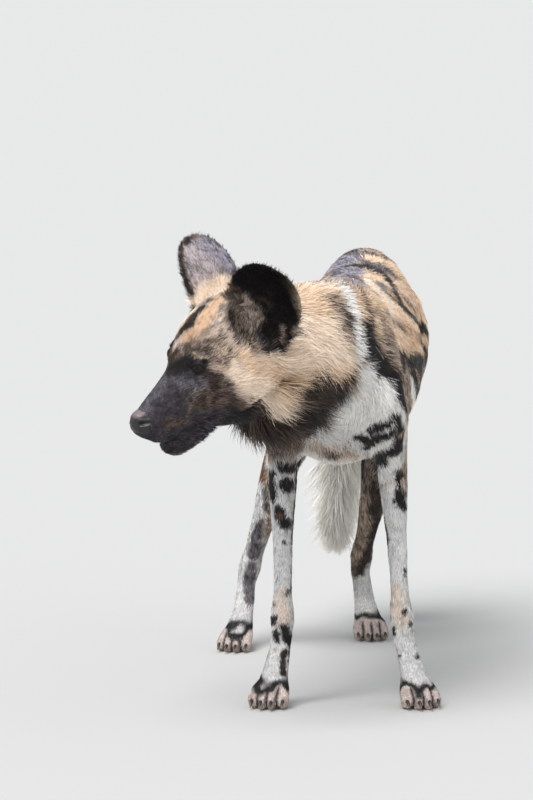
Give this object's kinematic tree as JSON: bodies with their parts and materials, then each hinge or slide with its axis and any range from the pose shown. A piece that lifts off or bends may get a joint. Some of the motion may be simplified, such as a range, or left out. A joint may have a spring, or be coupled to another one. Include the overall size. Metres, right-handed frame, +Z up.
{
  "type": "african wild dog, life-size still model",
  "caption": "Life-size still model of an African wild dog, standing on all fours with its head lowered and turned to its right, large rounded ears, blotched coat and a hanging brushed tail.",
  "frame": {"origin": "on the floor under the middle of the whole model's box", "axes": "+Z up, -Y the way the body faces, +X towards the dog's own left side"},
  "size_m": [0.4622, 1.0806, 0.7283],
  "materials": {
    "coat": "short dense hair, matt with a faint sheen, blotched black, tan and white",
    "eye": "wet gloss, dark brown iris",
    "nose": "fine pebbled black skin, slightly damp",
    "claw": "dull dark horn"
  },
  "bodies": {
    "root": {"torso": "coat", "neck": "coat", "head": "coat", "tail": "coat", "ear_left": "coat", "ear_right": "coat", "leg_front_left": "coat", "leg_front_right": "coat", "leg_hind_left": "coat", "leg_hind_right": "coat", "eye_left": "eye", "eye_right": "eye"}
  },
  "joints": []
}
